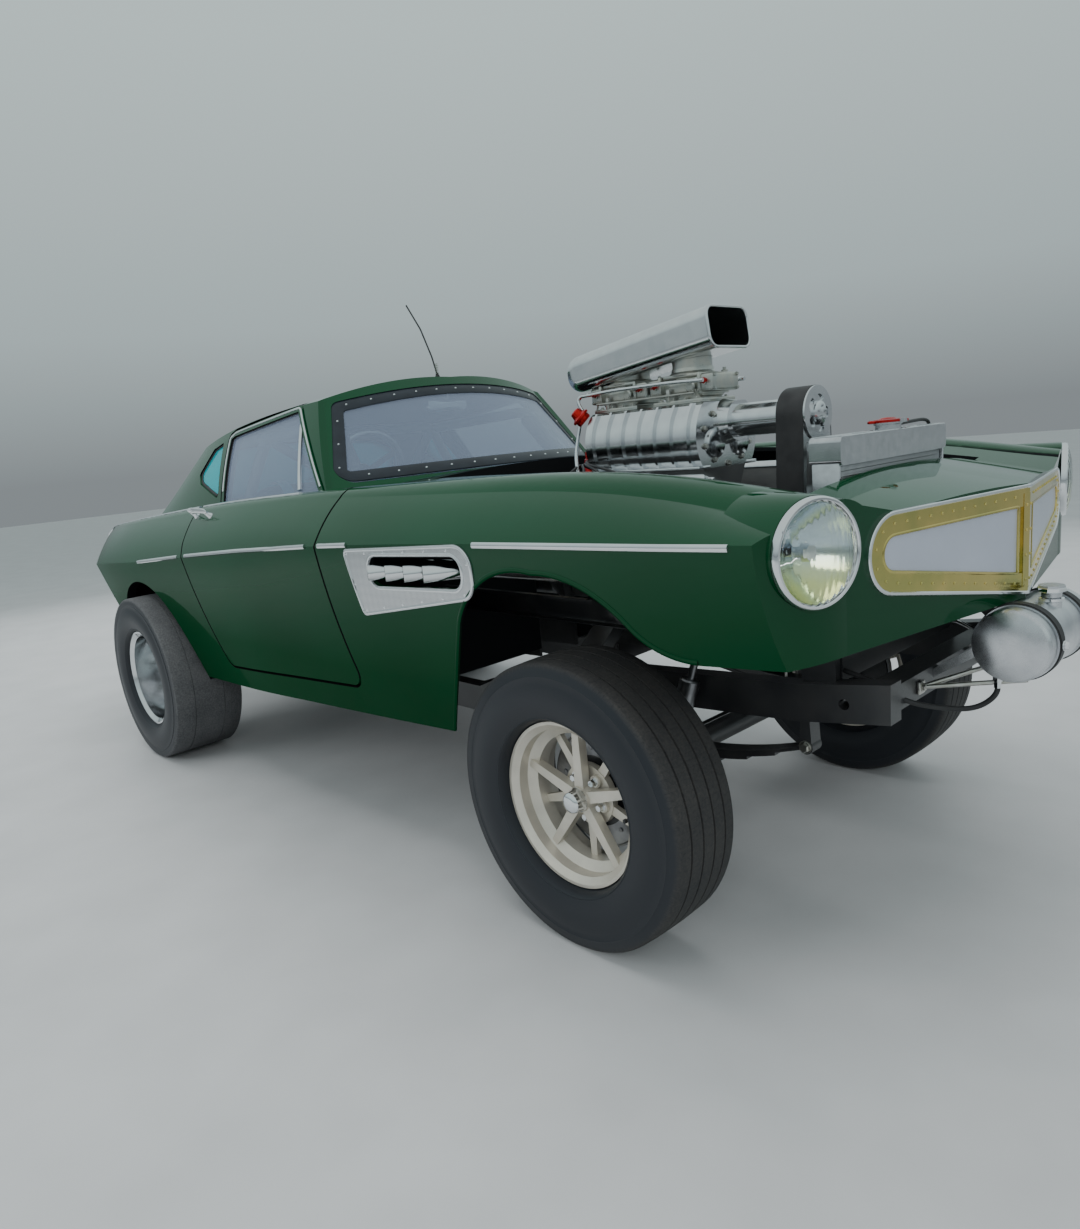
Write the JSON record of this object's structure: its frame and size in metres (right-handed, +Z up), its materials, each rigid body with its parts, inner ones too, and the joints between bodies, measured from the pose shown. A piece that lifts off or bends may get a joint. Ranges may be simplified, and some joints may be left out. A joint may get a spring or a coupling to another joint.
{
  "type": "drag racing car",
  "caption": "Nose-high two-door drag car with open bonnet, supercharged V8 and wide rear slicks; wheels turn, front wheels steer, doors and boot lid open.",
  "frame": {"origin": "on the ground, under the middle of the car", "axes": "+X forward, +Y to the car's left, +Z up"},
  "size_m": [4.3631, 1.8362, 1.7698],
  "materials": {
    "paint": "dark green gloss",
    "clear_glass": "clear",
    "tinted_glass": "teal tint",
    "black_metal": "satin black",
    "grille_metal": "brushed",
    "lamp_glass": "clear",
    "lamp_red": "gloss",
    "aluminium": "brushed",
    "iron": "painted",
    "aluminium_cast": "cast",
    "polished": "polished",
    "dark_steel": "heat stained",
    "chrome": "polished",
    "tyre": "matt",
    "wheel_silver": "satin",
    "black_vinyl": "satin",
    "black_plastic": "satin"
  },
  "bodies": {
    "root": {"aerial": "black_plastic", "blower": "polished", "carburettor_front": "polished", "carburettor_rear": "polished", "cowl": "paint", "dashboard": "black_plastic", "engine": "iron", "exhaust_left": "dark_steel", "exhaust_plate_left": "aluminium", "exhaust_plate_right": "aluminium", "exhaust_right": "dark_steel", "floor": "black_metal", "frame": "black_metal", "front_axle": "chrome", "front_wing_left": "paint", "front_wing_right": "paint", "fuel_tank": "aluminium", "gearbox": "aluminium_cast", "grille": "grille_metal", "headlight_left": "lamp_glass", "headlight_right": "lamp_glass", "nose_panel": "paint", "quarter_glass_left": "tinted_glass", "quarter_glass_right": "tinted_glass", "radiator": "aluminium", "rear_axle": "iron", "rear_quarter_left": "paint", "rear_quarter_right": "paint", "rear_window": "tinted_glass", "roll_cage": "black_metal", "roof": "paint", "scoop": "polished", "seat_left": "black_vinyl", "seat_right": "black_vinyl", "tail_lamp_left": "lamp_red", "tail_lamp_right": "lamp_red", "tail_panel": "paint", "windscreen": "clear_glass"},
    "left_door": {"door_left": "paint", "door_glass_left": "clear_glass"},
    "right_door": {"door_right": "paint", "door_glass_right": "clear_glass"},
    "lid": {"boot_lid": "paint"},
    "left_knuckle": {"knuckle_left": "dark_steel"},
    "right_knuckle": {"knuckle_right": "dark_steel"},
    "steering_rod": {"tie_rod": "chrome"},
    "left_front_wheel": {"front_wheel_left": "wheel_silver", "front_tyre_left": "tyre"},
    "right_front_wheel": {"front_wheel_right": "wheel_silver", "front_tyre_right": "tyre"},
    "left_rear_wheel": {"rear_wheel_left": "polished", "rear_tyre_left": "tyre"},
    "right_rear_wheel": {"rear_wheel_right": "polished", "rear_tyre_right": "tyre"}
  },
  "joints": [
    {"name": "left_door_hinge", "type": "hinge", "parent": "root", "child": "left_door", "pos_m": [0.392, 0.826, 0.885], "axis": [0, 0, -1], "range_deg": [0, 65]},
    {"name": "right_door_hinge", "type": "hinge", "parent": "root", "child": "right_door", "pos_m": [0.392, -0.826, 0.885], "axis": [0, 0, 1], "range_deg": [0, 65]},
    {"name": "boot_lid_hinge", "type": "hinge", "parent": "root", "child": "lid", "pos_m": [-1.6, 0, 1.012], "axis": [0, 1, 0], "range_deg": [0, 55]},
    {"name": "left_steer", "type": "hinge", "parent": "root", "child": "left_knuckle", "pos_m": [1.32, 0.56, 0.357], "axis": [0, 0, 1], "range_deg": [-30, 30]},
    {"name": "right_steer", "type": "hinge", "parent": "root", "child": "right_knuckle", "pos_m": [1.32, -0.56, 0.357], "axis": [0, 0, 1], "range_deg": [-30, 30]},
    {"name": "steering_rod_pivot", "type": "hinge", "parent": "left_knuckle", "child": "steering_rod", "pos_m": [1.19, 0.56, 0.318], "axis": [0, 0, 1], "range_deg": [-30, 30]},
    {"name": "left_front_spin", "type": "hinge", "parent": "left_knuckle", "child": "left_front_wheel", "pos_m": [1.32, 0.676, 0.357], "axis": [0, 1, 0], "continuous": true},
    {"name": "right_front_spin", "type": "hinge", "parent": "right_knuckle", "child": "right_front_wheel", "pos_m": [1.32, -0.676, 0.357], "axis": [0, 1, 0], "continuous": true},
    {"name": "left_rear_spin", "type": "hinge", "parent": "root", "child": "left_rear_wheel", "pos_m": [-1.13, 0.767, 0.355], "axis": [0, 1, 0], "continuous": true},
    {"name": "right_rear_spin", "type": "hinge", "parent": "root", "child": "right_rear_wheel", "pos_m": [-1.13, -0.767, 0.355], "axis": [0, 1, 0], "continuous": true}
  ],
  "couplings": [
    {"joint": "right_steer", "follows": "left_steer", "ratio": 1},
    {"joint": "steering_rod_pivot", "follows": "left_steer", "ratio": -1}
  ]
}
